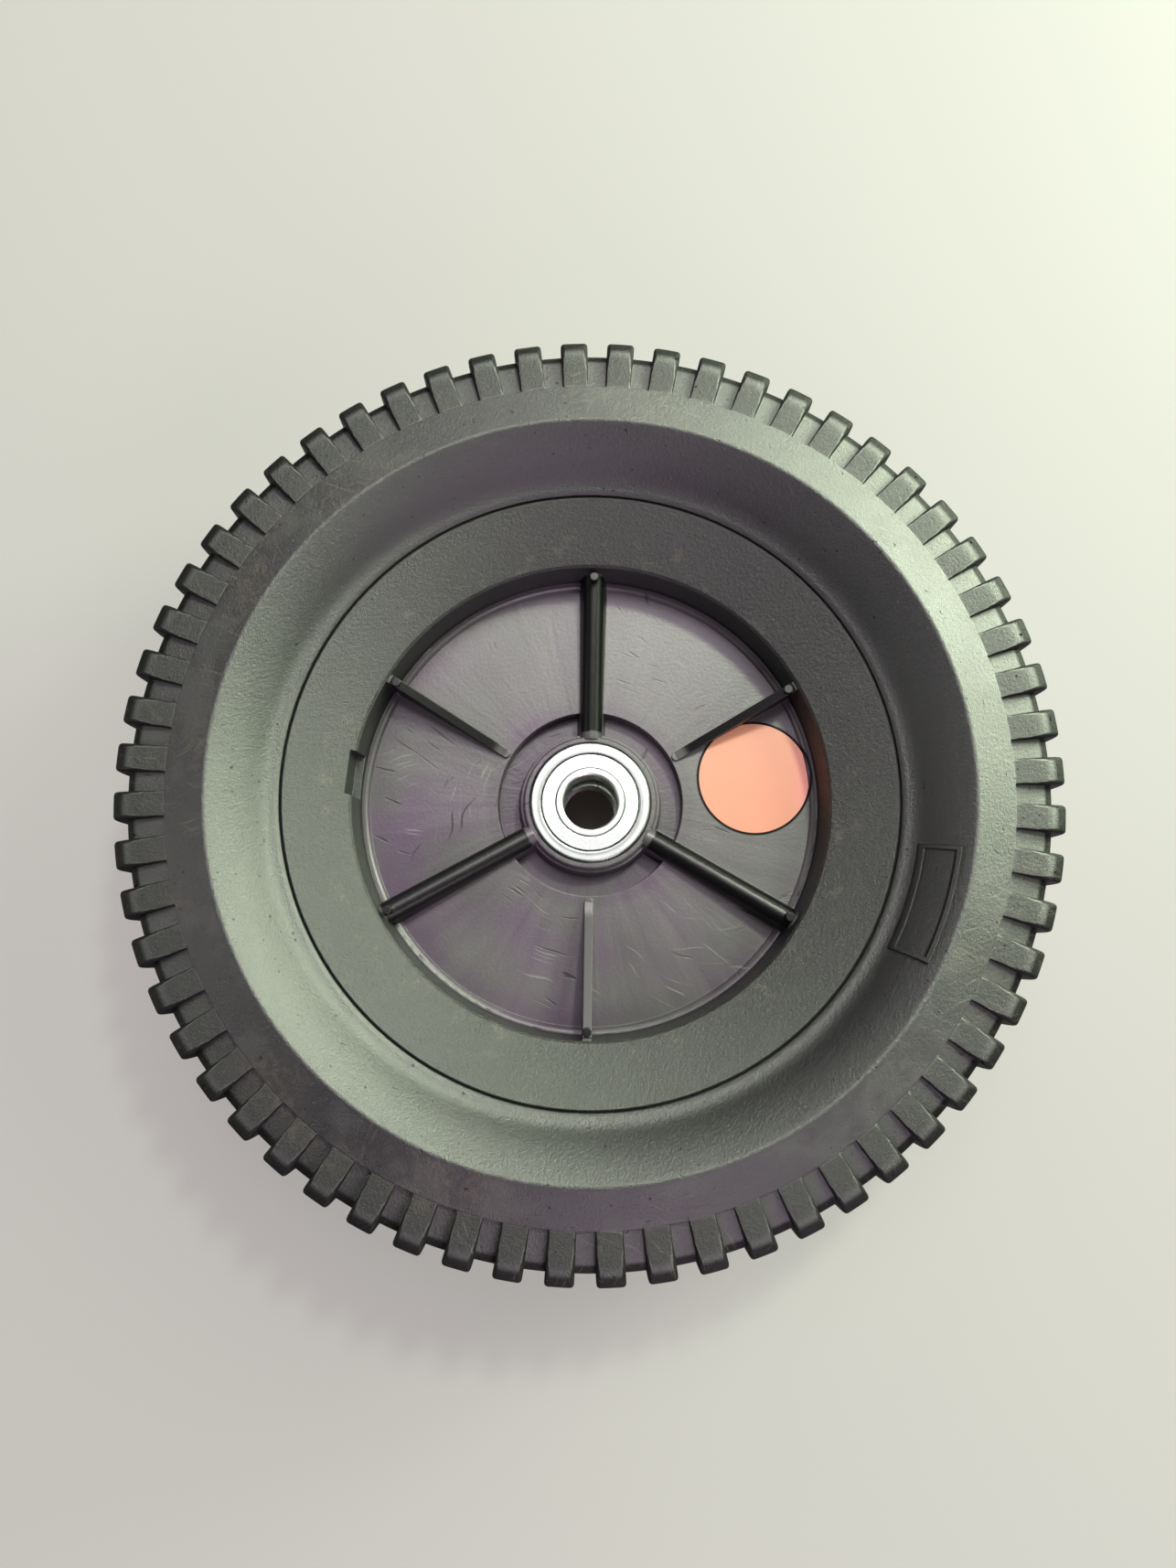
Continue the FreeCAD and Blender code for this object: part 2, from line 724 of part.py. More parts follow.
def make_rivets(prefix):
    body = bearing_body(prefix, "cage_rivets")
    s = size
    sheet, head = s["cage_sheet"], s["rivet_head"]
    shank = rivet_feature(body, "PartDesign::Pad", "shank", s["rivet_radius"], sheet * 2 + head)
    heads = [rivet_feature(body, "PartDesign::Pad", name, s["rivet_head_radius"], head, offset=offset)
             for name, offset in (("front_head", sheet + head / 2), ("rear_head", -(sheet + head / 2)))]
    around(body, "rivets", [shank] + heads, s["ball_count"])
    return body


def make_shield(prefix, name, side):
    """Pressed steel disc crimped into the outer race; side is +1 for the +Y face and -1 for the other."""
    body = bearing_body(prefix, name)
    s = size
    face = s["bearing_half"]
    sheet, inset, rim_inset = s["shield_sheet"], s["shield_inset"], s["shield_rim_inset"]
    bore, flat, rim = s["shield_bore"], s["shield_flat_radius"], s["shield_rim_radius"]
    top, step = face - inset, face - rim_inset
    corners = [
        (bore, top), (flat, top), (flat + sheet, step), (rim, step),
        (rim, step - sheet), (flat, step - sheet), (flat - sheet, top - sheet), (bore, top - sheet),
    ]
    if side < 0:
        corners = [(radius, -y) for radius, y in corners]
    turned(body, "disc", corners)
    return body


def make_bearing(prefix):
    return [
        make_outer_race(prefix),
        make_inner_race(prefix),
        make_balls(prefix),
        make_cage_half(prefix, "cage_front", -1),
        make_cage_half(prefix, "cage_rear", 1),
        make_rivets(prefix),
        make_shield(prefix, "shield_front", -1),
        make_shield(prefix, "shield_rear", 1),
    ]


# ---------------------------------------------------------------- build, check and write

def check(bodies):
    for item in doc.Objects:
        if "Invalid" in item.State or "Error" in item.State:
            raise SystemExit(f"{item.Label} failed: {item.State}")
    for body in bodies:
        if body.Shape.isNull() or not body.Shape.isValid():
            raise SystemExit(f"{body.Label} has no valid shape")


def main():
    tyre = make_tyre()
    add_plaque(tyre)
    bodies = [tyre, make_wheel(), make_label()] + make_bearing("front_bearing") + make_bearing("rear_bearing")
    doc.recompute()
    check(bodies)
    os.makedirs("parts", exist_ok=True)
    for body in bodies:
        body.Shape.exportStep(f"parts/{body.Label}.step")
        print(f"{body.Label}: {len(body.Shape.Solids)} solids, {body.Shape.Volume:.2f} mm3")


main()
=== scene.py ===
import json
import math

import bmesh
import bpy
from mathutils import Matrix, Vector


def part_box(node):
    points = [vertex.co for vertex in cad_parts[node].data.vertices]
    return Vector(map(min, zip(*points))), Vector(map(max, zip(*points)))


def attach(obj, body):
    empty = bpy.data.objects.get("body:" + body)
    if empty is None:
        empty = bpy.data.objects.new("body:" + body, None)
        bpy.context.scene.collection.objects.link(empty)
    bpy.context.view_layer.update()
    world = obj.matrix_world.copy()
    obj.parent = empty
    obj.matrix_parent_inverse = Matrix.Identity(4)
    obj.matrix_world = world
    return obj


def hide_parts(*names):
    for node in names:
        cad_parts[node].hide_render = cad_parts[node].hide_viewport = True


# Looks for the gate wheel. Its axis is Y, its dished outer side faces -Y, and its back lies on the stage.
# Lengths are metres unless a name ends in _MM. Material code works in millimetres and degrees.

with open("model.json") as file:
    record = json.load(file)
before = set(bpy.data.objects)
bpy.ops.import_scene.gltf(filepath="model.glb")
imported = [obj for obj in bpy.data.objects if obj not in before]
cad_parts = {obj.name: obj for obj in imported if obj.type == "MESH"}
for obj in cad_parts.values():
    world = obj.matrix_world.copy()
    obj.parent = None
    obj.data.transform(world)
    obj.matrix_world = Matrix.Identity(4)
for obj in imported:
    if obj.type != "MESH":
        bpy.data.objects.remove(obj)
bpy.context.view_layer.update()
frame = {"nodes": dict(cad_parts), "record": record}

MM = 0.001
NODES = frame["nodes"]


def node_radius(name):
    """Outer radius of a round CAD node that is centred on the wheel's axis."""
    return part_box(name)[1].x


TYRE_RADIUS = node_radius("tyre")
SEAM_RADIUS = node_radius("wheel_moulding")
BEARING_RADIUS = node_radius("front_bearing_outer_race")
SHOULDER_RADIUS = TYRE_RADIUS - 12.0 * MM
WALL_RADIUS = SEAM_RADIUS - 15.0 * MM
WEB_FACE = 3.2 * MM
LABEL_RADIUS = 13.0 * MM
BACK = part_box("tyre")[1].y


# ---------------------------------------------------------------- node materials in short form

# Scratches: how quickly their bend comes and goes, how far it reaches, and their depth along Y.
SWAY_PER_MM = 0.07
SWAY_MM = 7.0
SCRATCH_DEPTH_MM = 50


class Graph:
    """A material's node tree with short calls for the nodes that the finishes below share."""

    def __init__(self, name):
        self.material = bpy.data.materials.new(name)
        self.material.use_nodes = True
        self.tree = self.material.node_tree
        self.tree.nodes.clear()
        place = self.node("ShaderNodeTexCoord").outputs["Object"]
        self.place = self.vector("SCALE", place, scale=1 / MM)
        axes = self.node("ShaderNodeSeparateXYZ", Vector=self.place).outputs
        self.x, self.y, self.z = axes["X"], axes["Y"], axes["Z"]
        square = self.total(self.product(self.x, self.x), self.product(self.z, self.z))
        self.radius = self.math("SQRT", square)
        self.angle = self.math("MULTIPLY", self.math("ARCTAN2", self.z, self.x), math.degrees(1))

    def node(self, kind, settings=None, **inputs):
        made = self.tree.nodes.new(kind)
        for name, value in (settings or {}).items():
            setattr(made, name, value)
        for name, value in inputs.items():
            self.set(made.inputs[name.replace("_", " ")], value)
        return made

    def set(self, socket, value):
        if isinstance(value, bpy.types.NodeSocket):
            self.tree.links.new(value, socket)
        elif value is not None:
            socket.default_value = value

    def math(self, operation, *values, clamp=False):
        made = self.node("ShaderNodeMath", {"operation": operation, "use_clamp": clamp})
        for socket, value in zip(made.inputs, values):
            self.set(socket, value)
        return made.outputs[0]

    def vector(self, operation, a, b=None, scale=None):
        made = self.node("ShaderNodeVectorMath", {"operation": operation})
        self.set(made.inputs[0], a)
        self.set(made.inputs[1], b)
        if scale is not None:
            self.set(made.inputs["Scale"], scale)
        return made.outputs["Value" if operation == "DOT_PRODUCT" else 0]

    def polar(self, radial, around):
        """Coordinates that run out from the axis and round it, so that a pattern follows turned work."""
        made = self.node("ShaderNodeCombineXYZ")
        self.set(made.inputs["X"], self.math("MULTIPLY", self.radius, radial))
        self.set(made.inputs["Y"], self.math("MULTIPLY", self.angle, around))
        self.set(made.inputs["Z"], self.y)
        return made.outputs[0]

    def moved(self, x_mm, z_mm):
        """Coordinates moved along, so that one pattern doesn't fall on another."""
        return self.vector("ADD", self.place, (x_mm, 0, z_mm))

    def noise(self, cell_mm, where=None, detail=2.0, roughness=0.5, distortion=0.0):
        """Cloudy noise, 0 to 1, whose blotches are about cell_mm across."""
        made = self.node("ShaderNodeTexNoise", Vector=where or self.place, Scale=1 / cell_mm, Detail=detail,
                         Roughness=roughness, Distortion=distortion)
        return made.outputs["Fac"]

    def step(self, value, low, high):
        """0 below low and 1 above high, or the reverse when low > high, with a smooth rise between."""
        made = self.node("ShaderNodeMapRange", {"interpolation_type": "SMOOTHSTEP"}, Value=value)
        made.inputs["From Min"].default_value = min(low, high)
        made.inputs["From Max"].default_value = max(low, high)
        made.inputs["To Min"].default_value = 0.0 if low < high else 1.0
        made.inputs["To Max"].default_value = 1.0 if low < high else 0.0
        return made.outputs[0]

    def band(self, value, low, high, soft):
        """1 between low and high, fading over soft at both ends."""
        rise = self.step(value, low - soft, low + soft)
        fall = self.step(value, high + soft, high - soft)
        return self.math("MULTIPLY", rise, fall)

    def ramp(self, value, low, high):
        """Map 0 to 1 onto low to high."""
        made = self.node("ShaderNodeMapRange", Value=value)
        made.inputs["To Min"].default_value = low
        made.inputs["To Max"].default_value = high
        return made.outputs[0]

    def mix(self, share, a, b):
        """Colour a where share is 0 and b where it is 1."""
        made = self.node("ShaderNodeMix", {"data_type": "RGBA"})
        self.set(made.inputs["Factor"], share)
        self.set(made.inputs["A"], colour(a))
        self.set(made.inputs["B"], colour(b))
        return made.outputs["Result"]

    def total(self, *values):
        result = values[0]
        for value in values[1:]:
            result = self.math("ADD", result, value)
        return result

    def product(self, *values):
        result = values[0]
        for value in values[1:]:
            result = self.math("MULTIPLY", result, value)
        return result

    def scratches(self, count, length_mm, width_mm, cover):
        """Thin, slightly bent scratches in count directions; more of them show as cover rises."""
        sway = self.node("ShaderNodeTexNoise", Vector=self.place, Scale=SWAY_PER_MM, Detail=1.0)
        bent = self.vector("ADD", self.place, self.vector("SCALE", sway.outputs["Color"], scale=SWAY_MM))
        marks = []
        for index in range(count):
            turned = self.node("ShaderNodeMapping", {"vector_type": "TEXTURE"}, Vector=bent)
            turned.inputs["Rotation"].default_value = (0, math.radians(23 + 180 / count * index * 1.3), 0)
            turned.inputs["Location"].default_value = (17.0 * index, 0, 31.0 * index)
            turned.inputs["Scale"].default_value = (length_mm, SCRATCH_DEPTH_MM, width_mm)
            lane = self.noise(1.0, turned.outputs[0], detail=0)
            gate = self.noise(18.0 + 5.0 * index, self.moved(41.0 * index, 13.0), detail=0)
            line = self.step(lane, 0.72, 0.78)
            marks.append(self.math("MULTIPLY", line, self.step(gate, 0.62 - cover, 0.7 - cover)))
        result = marks[0]
        for mark in marks[1:]:
            result = self.math("MAXIMUM", result, mark)
        return result

    def soft_edges(self, width_mm):
        """The surface normal with its edges rounded, and a mask that is 1 on those edges."""
        soft = self.node("ShaderNodeBevel", {"samples": 6}, Radius=width_mm * MM).outputs["Normal"]
        true = self.node("ShaderNodeNewGeometry").outputs["Normal"]
        agree = self.vector("DOT_PRODUCT", soft, true)
        return soft, self.step(agree, 0.98, 0.8)

    def bump(self, height_mm, normal=None):
        """Relief given as a height in millimetres."""
        made = self.node("ShaderNodeBump", Strength=1.0, Distance=MM, Height=height_mm)
        self.set(made.inputs["Normal"], normal)
        return made.outputs["Normal"]

    def surface(self, **inputs):
        shader = self.node("ShaderNodeBsdfPrincipled", **inputs)
        out = self.node("ShaderNodeOutputMaterial")
        self.tree.links.new(shader.outputs[0], out.inputs["Surface"])
        return self.material


def colour(value):
    return (*value, 1.0) if isinstance(value, tuple) and len(value) == 3 else value


# ---------------------------------------------------------------- finishes

BLACK = (0.0026, 0.0026, 0.0029)
FADED_BLACK = (0.0052, 0.0052, 0.0055)
TREAD_BLACK = (0.0034, 0.0036, 0.0034)
WEB_GREY = (0.028, 0.027, 0.028)
# WEB_VIOLET is painted violet sheen, laid on the web in patches.
WEB_VIOLET = (0.034, 0.019, 0.038)
# WEB_PALE is the web's pale haze tone, laid on partly as painted light.
WEB_PALE = (0.066, 0.068, 0.062)
WEB_SCRATCH = (0.13, 0.13, 0.125)
SPOKE_BLACK = (0.0016, 0.0016, 0.0017)
RUBBED_AND_EDGE_HIGHLIGHT = (0.02, 0.02, 0.019)
DUST = (0.05, 0.042, 0.03)
BROWN_DIRT = (0.046, 0.033, 0.021)


def dust_mask(g, strength):
    """Dust that clings in patches, finer inside the patches."""
    patches = g.step(g.noise(22.0, detail=3), 0.48, 0.72)
    specks = g.step(g.noise(0.9, detail=4, roughness=0.7), 0.55, 0.75)
    return g.product(patches, specks, strength)


def tyre_plastic():
    """Hard black moulding: grained dish, rubbed and dirty shoulder, duller bars and glossier grooves."""
    g = Graph("tyre_plastic")
    outer = TYRE_RADIUS / MM
    shoulder_edge = SHOULDER_RADIUS / MM
    soft, edges = g.soft_edges(0.3)
    tread = g.step(g.radius, shoulder_edge + 0.1, shoulder_edge + 0.6)
    normal = g.node("ShaderNodeNewGeometry").outputs["Normal"]
    facing = g.math("ABSOLUTE", g.node("ShaderNodeSeparateXYZ", Vector=normal).outputs["Y"])
    nose = g.product(g.step(g.radius, outer - 5.3, outer - 4.3), g.step(facing, 0.992, 0.95))
    tips = g.product(tread, g.math("MAXIMUM", g.step(facing, 0.965, 0.925), nose))
    bars = g.product(tread, g.step(facing, 0.98, 0.998))
    gaps = g.product(tread, g.math("SUBTRACT", 1.0, g.total(tips, bars), clamp=True))
    shoulder = g.band(g.radius, shoulder_edge - 8.0, shoulder_edge + 0.2, 0.6)

    clouds = g.noise(30.0, detail=4)
    grain = g.noise(0.8, detail=4, roughness=0.85)
    waves = g.noise(9.0, detail=1)
    stipple = g.step(g.noise(0.6, detail=1), 0.72, 0.78)
    pits = g.step(g.noise(1.2, g.vector("ADD", g.place, (5.0, 9.0, 0)), detail=1), 0.735, 0.76)
    scuffs = g.product(g.scratches(5, 6.0, 0.4, 0.02), g.step(g.radius, outer - 22.0, outer - 18.0),
                       g.step(facing, 0.5, 0.8))
    dirt = g.product(dust_mask(g, 0.35), g.step(g.radius, outer - 24.0, outer - 16.0))
    worn = g.product(g.step(g.noise(13.0, detail=4, roughness=0.65), 0.48, 0.62), shoulder)
    stain = g.product(g.step(g.noise(16.0, detail=3), 0.46, 0.66),
                      g.step(g.noise(1.6, detail=5, roughness=0.75), 0.42, 0.7))
    brown = g.product(stain, g.band(g.radius, outer - 20.5, outer - 8.0, 2.0),
                      g.step(g.x, 40.0, -20.0), 0.4)

    base = g.mix(g.math("MULTIPLY", clouds, 0.8), BLACK, FADED_BLACK)
    base = g.mix(g.math("MULTIPLY", tread, g.ramp(grain, 0.5, 1.0)), base, TREAD_BLACK)
    base = g.mix(g.product(worn, 0.35), base, RUBBED_AND_EDGE_HIGHLIGHT)
    # Edges lightened: partly rubbed wear, partly a painted highlight along the edges.
    base = g.mix(g.math("MULTIPLY", edges, 0.3), base, RUBBED_AND_EDGE_HIGHLIGHT)
    base = g.mix(dirt, base, DUST)
    base = g.mix(brown, base, BROWN_DIRT)
    base = g.mix(g.product(g.total(scuffs, stipple), 0.4), base, DUST)
    roughness = g.total(0.36, g.ramp(clouds, -0.04, 0.06), g.ramp(grain, -0.06, 0.06),
                        g.product(tread, 0.1), g.product(dirt, 0.25), g.product(brown, 0.25),
                        g.product(worn, 0.08))
    relief = g.product(grain, g.total(0.2, g.product(tread, 0.03)))
    height = g.total(relief, g.product(waves, 0.02), g.product(stipple, 0.02), g.product(pits, -0.08))
    gloss = g.total(0.5, g.product(tips, -0.42), g.product(bars, -0.16), g.product(gaps, 0.15),
                    g.product(pits, -0.3))
    return g.surface(Base_Color=base, Roughness=roughness, Normal=g.bump(height, soft), IOR=1.5,
                     Specular_IOR_Level=gloss)


def label_middle():
    """Middle of the CAD sticker."""
    low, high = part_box("label_dot")
    return (low + high) / 2


def wheel_plastic():
    """Grained black rim, smooth black spokes and ribs, and a paler, scratched web whose pale haze is partly
    painted light and shade, with painted violet sheen in patches.
    """
    g = Graph("wheel_plastic")
    wall = WALL_RADIUS / MM
    hub = BEARING_RADIUS / MM
    web_face = WEB_FACE / MM
    soft, edges = g.soft_edges(0.3)
    rim = g.step(g.radius, wall - 0.2, wall + 0.2)
    web = g.math("SUBTRACT", 1.0, rim)
    raised = g.product(g.step(g.y, web_face - 0.4, web_face - 1.2),
                       g.step(g.radius, wall + 0.2, wall - 0.2),
                       g.step(g.radius, hub + 2.2, hub + 2.8))
    flat = g.product(web, g.math("SUBTRACT", 1.0, raised))
    middle = label_middle() / MM
    across, up = g.math("SUBTRACT", g.x, middle.x), g.math("SUBTRACT", g.z, middle.z)
    reach = g.math("SQRT", g.total(g.product(across, across), g.product(up, up)))
    # A dark ring round the sticker: painted shadow of its edge on the web, with some dirt. The ring is also
    # less glossy.
    ring = g.product(flat, g.band(reach, LABEL_RADIUS / MM, LABEL_RADIUS / MM + 0.6, 0.2))

    clouds = g.noise(26.0, detail=4)
    flow = g.noise(1.0, g.polar(0.035, 0.16), detail=4, roughness=0.6, distortion=0.6)
    # The web's pale haze is partly a random dust film and flow marks, and partly painted light and shade.
    # It is paler towards the upper right, where the light falls, and has painted shade at the wall's foot,
    # where the rim's shadow lies. It is also less pale round the hub.
    haze_and_painted_light = g.total(g.ramp(g.noise(34.0, g.moved(9.0, 33.0), detail=2), -0.1, 1.1),
                   g.ramp(flow, -0.35, 0.35),
                   g.product(g.step(g.radius, wall - 9.0, wall - 1.0), -0.35),
                   g.product(g.step(g.radius, hub + 11.5, hub + 8.5), -0.25),
                   g.product(g.step(g.math("ADD", g.x, g.z), -55.0, 45.0), 0.5), -0.25)
    # Patches of painted violet sheen: the web is tinted violet where it stands in for the violet light it
    # reflects.
    violet_sheen = g.step(g.noise(17.0, g.moved(70.0, 12.0), detail=3), 0.3, 0.75)
    spark = g.noise(0.85, detail=4, roughness=0.85)
    fine = g.noise(0.8, detail=4, roughness=0.75)
    stipple = g.step(g.noise(0.55, detail=1), 0.73, 0.79)
    rub = g.product(g.step(g.noise(4.5, detail=5, roughness=0.7), 0.56, 0.66),
                    g.band(g.radius, wall + 1.0, wall + 7.0, 1.5))
    scratch = g.product(g.scratches(6, 13.0, 0.4, -0.055), flat)
    gouge = g.product(g.scratches(5, 9.0, 0.7, -0.04), flat)
    dirt = g.product(dust_mask(g, 0.45), g.ramp(rim, 0.3, 1.0))

    base = g.mix(g.math("MULTIPLY", clouds, 0.8), BLACK, FADED_BLACK)
    base = g.mix(flat, base, g.mix(violet_sheen, WEB_GREY, WEB_VIOLET))
    base = g.mix(g.product(flat, g.math("MULTIPLY", haze_and_painted_light, 0.9, clamp=True)), base, WEB_PALE)
    base = g.mix(raised, base, SPOKE_BLACK)
    # Edges lightened: partly rubbed wear, partly a painted highlight along the edges.
    base = g.mix(g.product(edges, 0.4), base, RUBBED_AND_EDGE_HIGHLIGHT)
    base = g.mix(dirt, base, DUST)
    base = g.mix(g.product(g.total(rub, g.product(stipple, rim)), 0.4), base, DUST)
    base = g.mix(g.product(scratch, 0.4), base, WEB_SCRATCH)
    # Gouges, and the painted shadow ring round the sticker, go dark.
    base = g.mix(g.product(g.math("MAXIMUM", gouge, ring), 0.85), base, BLACK)
    roughness = g.total(0.33, g.ramp(clouds, -0.04, 0.05), g.product(rim, 0.08),
                        g.product(flat, g.ramp(flow, -0.06, 0.06)), g.product(dirt, 0.2),
                        g.product(scratch, 0.12), g.product(raised, 0.02))
    grain = g.product(rim, g.total(g.product(spark, 0.36), g.product(stipple, 0.03)))
    relief = g.product(flat, g.total(g.product(flow, 0.05), g.product(fine, 0.05), g.product(gouge, -0.03)))
    height = g.total(grain, g.product(clouds, 0.03), relief)
    gloss = g.total(0.5, g.product(raised, -0.3), g.product(flat, -0.2), g.product(ring, -0.3))
    return g.surface(Base_Color=base, Roughness=roughness, Normal=g.bump(height, soft), IOR=1.5,
                     Specular_IOR_Level=gloss)


LABEL_SALMON = (0.225, 0.077, 0.037)
LABEL_LIGHT = (0.24, 0.083, 0.041)
LABEL_SHADE_PINK = (0.28, 0.07, 0.08)
LABEL_SPECK = (0.15, 0.05, 0.035)
LABEL_PAINTED_GLOW = (0.22, 0.095, 0.06)


def label_film():
    """Fluorescent salmon paper-faced film that glows with painted light, with painted pink shade towards
    its far edge, where it also lifts.
    """
    g = Graph("label_film")
    far_edge = label_middle().x / MM + LABEL_RADIUS / MM
    clouds = g.noise(7.0, detail=3)
    fibre = g.noise(0.25, detail=4, roughness=0.7)
    specks = g.step(g.noise(0.35, detail=1), 0.76, 0.8)
    # Painted shade: pinker towards the far edge, where the rim's shadow falls on the sticker, which also
    # lifts there.
    lifted_and_shaded = g.step(g.x, far_edge - 5.0, far_edge - 0.5)
    base = g.mix(clouds, LABEL_SALMON, LABEL_LIGHT)
    base = g.mix(g.math("MULTIPLY", lifted_and_shaded, 0.7), base, LABEL_SHADE_PINK)
    base = g.mix(g.math("MULTIPLY", specks, 0.35), base, LABEL_SPECK)
    height = g.total(g.product(fibre, 0.006), g.product(clouds, 0.03))
    roughness = g.total(0.42, g.ramp(fibre, -0.06, 0.08))
    # The emission is painted light: the sticker glows by itself, standing in for its fluorescence and
    # filling the shade cast on it.
    return g.surface(Base_Color=base, Roughness=roughness, Normal=g.bump(height), IOR=1.45,
                     Emission_Color=colour(LABEL_PAINTED_GLOW), Emission_Strength=1.0)


STEEL_PITS_AND_SHADE = (0.085, 0.087, 0.086)
STEEL_SEAM_SHADOW = (0.02, 0.02, 0.02)
STEEL_BORE_HIGHLIGHT = (0.65, 0.66, 0.65)
BORE_HIGHLIGHT_MM = (6.75, 6.5)
SHIELD_SEAM_SHADOW_MM = (8.05, 11.35)
SHIELD_RIM_SHADE_MM = (11.75, 12.5)
RACE_EDGE_SHADE_MM = (13.2, 14.1)


def steel(name, tint, roughness, line_mm, line_height_mm, edge_mm):
    """Bright steel with turning lines, a few smears and pits, painted shade on its edges, the shield's rim,
    the race's outer edge and the seams, and a painted highlight in the bore.
    """
    g = Graph(name)
    soft, edges = g.soft_edges(edge_mm)
    lines = g.noise(line_mm, g.polar(1.0, 0.004), detail=2, roughness=0.7)
    smears = g.noise(2.6, detail=4, roughness=0.6)
    pits = g.step(g.noise(0.3, detail=2), 0.7, 0.8)
    dull = tuple(channel * 0.8 for channel in tint)
    base = g.mix(g.ramp(smears, 0.0, 0.55), tint, dull)
    base = g.mix(g.product(pits, 0.3), base, STEEL_PITS_AND_SHADE)
    # Painted shade: rounded edges, the shield's rim and the race's outer edge are greyed.
    base = g.mix(g.product(edges, 0.6), base, STEEL_PITS_AND_SHADE)
    base = g.mix(g.product(g.band(g.radius, *SHIELD_RIM_SHADE_MM, 0.35), 0.6), base, STEEL_PITS_AND_SHADE)
    base = g.mix(g.product(g.step(g.radius, *RACE_EDGE_SHADE_MM), 0.8), base, STEEL_PITS_AND_SHADE)
    # Painted highlight: the bore is made bright steel.
    base = g.mix(g.step(g.radius, *BORE_HIGHLIGHT_MM), base, STEEL_BORE_HIGHLIGHT)
    # Painted shadow lines in the seams round the shield.
    for radius in SHIELD_SEAM_SHADOW_MM:
        base = g.mix(g.product(g.band(g.radius, radius - 0.1, radius + 0.1, 0.06), 0.8), base, STEEL_SEAM_SHADOW)
    rough = g.total(roughness, g.ramp(smears, -0.05, 0.09), g.ramp(lines, -0.03, 0.05))
    height = g.total(g.product(lines, line_height_mm), g.product(pits, -0.002))
    return g.surface(Base_Color=base, Metallic=1.0, Roughness=rough, Normal=g.bump(height, soft))


FINISHES = {
    "tyre_plastic": tyre_plastic(),
    "wheel_plastic": wheel_plastic(),
    "label_film": label_film(),
    "race_steel": steel("race_steel", (0.32, 0.36, 0.33), 0.26, 0.16, 0.0008, 0.5),
    "shield_steel": steel("shield_steel", (0.34, 0.38, 0.35), 0.24, 0.3, 0.0005, 0.12),
    "ball_steel": steel("ball_steel", (0.40, 0.40, 0.41), 0.08, 0.8, 0.0001, 0.05),
    "cage_steel": steel("cage_steel", (0.26, 0.25, 0.24), 0.3, 0.5, 0.0005, 0.1),
}


def paint(piece, material):
    """Give every slot of a piece one material."""
    piece.data.materials.clear()
    piece.data.materials.append(material)


def paint_nodes():
    for part in frame["record"]["subparts"]:
        paint(NODES[part["node"]], FINISHES[part["material_slot"]])


SHARP_ANGLE = 32


def add_piece(name, mesh, slot, *nodes):
    """Put a new mesh on the wheel, smooth between its real edges, in place of any CAD nodes named."""
    mesh.polygons.foreach_set("use_smooth", [True] * len(mesh.polygons))
    mesh.set_sharp_from_angle(angle=math.radians(SHARP_ANGLE))
    piece = bpy.data.objects.new(name, mesh)
    bpy.context.scene.collection.objects.link(piece)
    paint(piece, FINISHES[slot])
    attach(piece, "wheel")
    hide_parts(*nodes)
    return piece


def closed_mesh(name, points, faces):
    """Mesh with all its faces turned outwards."""
    mesh = bpy.data.meshes.new(name)
    mesh.from_pydata(points, [], faces)
    bm = bmesh.new()
    bm.from_mesh(mesh)
    bmesh.ops.recalc_face_normals(bm, faces=bm.faces)
    bm.to_mesh(mesh)
    bm.free()
    return mesh


# ---------------------------------------------------------------- tyre with rounded bars

BAR_COUNT = 60
BAR_PHASE = math.radians(3.15)
BAR_HALF = math.radians(1.725)
BAR_DEPTHS = (0.0, 0.07 * MM, 0.26 * MM, 0.55 * MM, 0.95 * MM)
BAR_TIP_ROUND = 0.8 * MM
BAR_SIDE_ROUND = 0.35 * MM
WALL_LEAN = 0.05 * MM
TREAD_POINTS = 64
TREAD_ROUNDS = 2
DISH_POINTS = 27
DISH_ROUNDS = 14
DISH_FOOT = SEAM_RADIUS
DISH_TOP = TYRE_RADIUS - 21.8 * MM
DISH_DEPTH = 11.2 * MM
SIDE_REACH = 7.0 * MM
ROOT_FADE = 0.8 * MM
CLOSE = 0.08 * MM


def section(name, angle):
    """Closed outline, as (radius, y) points, where a half-plane at an angle from +X cuts a CAD node."""
    bm = bmesh.new()
    bm.from_mesh(NODES[name].data)
    bmesh.ops.remove_doubles(bm, verts=bm.verts, dist=MM / 1000)
    out = Vector((math.cos(angle), 0, math.sin(angle)))
    across = Vector((-out.z, 0, out.x))
    whole = bm.verts[:] + bm.edges[:] + bm.faces[:]
    cut = bmesh.ops.bisect_plane(bm, geom=whole, plane_co=(0, 0, 0), plane_no=across)["geom_cut"]
    near = {}
    for edge in cut:
        if isinstance(edge, bmesh.types.BMEdge) and all(vert.co.dot(out) > 0 for vert in edge.verts):
            for vert in edge.verts:
                near.setdefault(vert, []).append(edge)
    first = max(near, key=lambda vert: vert.co.dot(out))
    loop, edge = [first], near[first][0]
    vert = edge.other_vert(first)
    while vert is not first:
        loop.append(vert)
        edge = next(other for other in near[vert] if other is not edge)
        vert = edge.other_vert(vert)
    outline = [Vector((vert.co.dot(out), vert.co.y)) for vert in loop]
    bm.free()
    return outline


